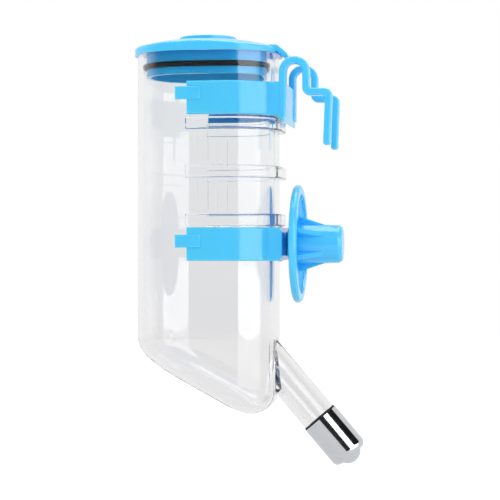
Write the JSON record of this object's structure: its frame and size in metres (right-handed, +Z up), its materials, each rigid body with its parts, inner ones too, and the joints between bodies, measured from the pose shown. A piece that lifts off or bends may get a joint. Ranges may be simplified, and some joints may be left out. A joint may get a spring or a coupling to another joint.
{
  "type": "cage water bottle",
  "caption": "Cage-hung small-animal water bottle: clear rounded bottle, blue lid, hook clip, screw-clamp clip and an angled spout with a steel ball nozzle.",
  "frame": {"origin": "where the cage wire lies under the arches of the two hooks, midway between the hooks", "axes": "+X towards the cage, out of the front wall; +Y across the bottle; +Z up, along the bottle's straight walls"},
  "size_m": [0.1049, 0.0632, 0.1947],
  "materials": {
    "clear_plastic": "clear polished",
    "blue_plastic": "gloss",
    "black_rubber": "satin",
    "polished_steel": "polished",
    "spring_steel": "drawn wire",
    "white_plastic": "moulded"
  },
  "bodies": {
    "bottle": {"bottle_body": "clear_plastic", "spout_tube": "clear_plastic", "nozzle_seal": "black_rubber", "nozzle_cap": "polished_steel", "spring_retainer": "white_plastic", "nozzle_spring": "spring_steel"},
    "lid": {"lid": "blue_plastic", "lid_ring": "black_rubber"},
    "hook_clip": {"hook_clip": "blue_plastic"},
    "clamp_clip": {"clamp_clip": "blue_plastic", "clamp_stud": "blue_plastic"},
    "clamp_collar": {"clamp_collar": "blue_plastic"},
    "clamp_knob": {"clamp_knob": "blue_plastic"},
    "nozzle_ball": {"nozzle_ball": "polished_steel"}
  },
  "joints": [
    {"name": "lid_lift", "type": "slide", "parent": "bottle", "child": "lid", "axis": [0, 0, 1], "range_m": [0, 0.06]},
    {"name": "hook_clip_pull", "type": "slide", "parent": "bottle", "child": "hook_clip", "axis": [1, 0, 0], "range_m": [0, 0.055]},
    {"name": "clamp_clip_pull", "type": "slide", "parent": "bottle", "child": "clamp_clip", "axis": [1, 0, 0], "range_m": [0, 0.055]},
    {"name": "collar_travel", "type": "slide", "parent": "clamp_clip", "child": "clamp_collar", "axis": [1, 0, 0], "range_m": [0, 0.012]},
    {"name": "knob_turn", "type": "hinge", "parent": "clamp_collar", "child": "clamp_knob", "pos_m": [0, 0, -0.08], "axis": [1, 0, 0], "range_deg": [0, 1440]},
    {"name": "ball_press", "type": "slide", "parent": "bottle", "child": "nozzle_ball", "axis": [-0.6521, 0, 0.7581], "range_m": [0, 0.0015], "stiffness_N_per_m": 120, "springref_m": -0.004, "deforming": ["nozzle_spring"]}
  ],
  "couplings": [
    {"joint": "collar_travel", "follows": "knob_turn", "m_per_rad": 0.000477}
  ]
}
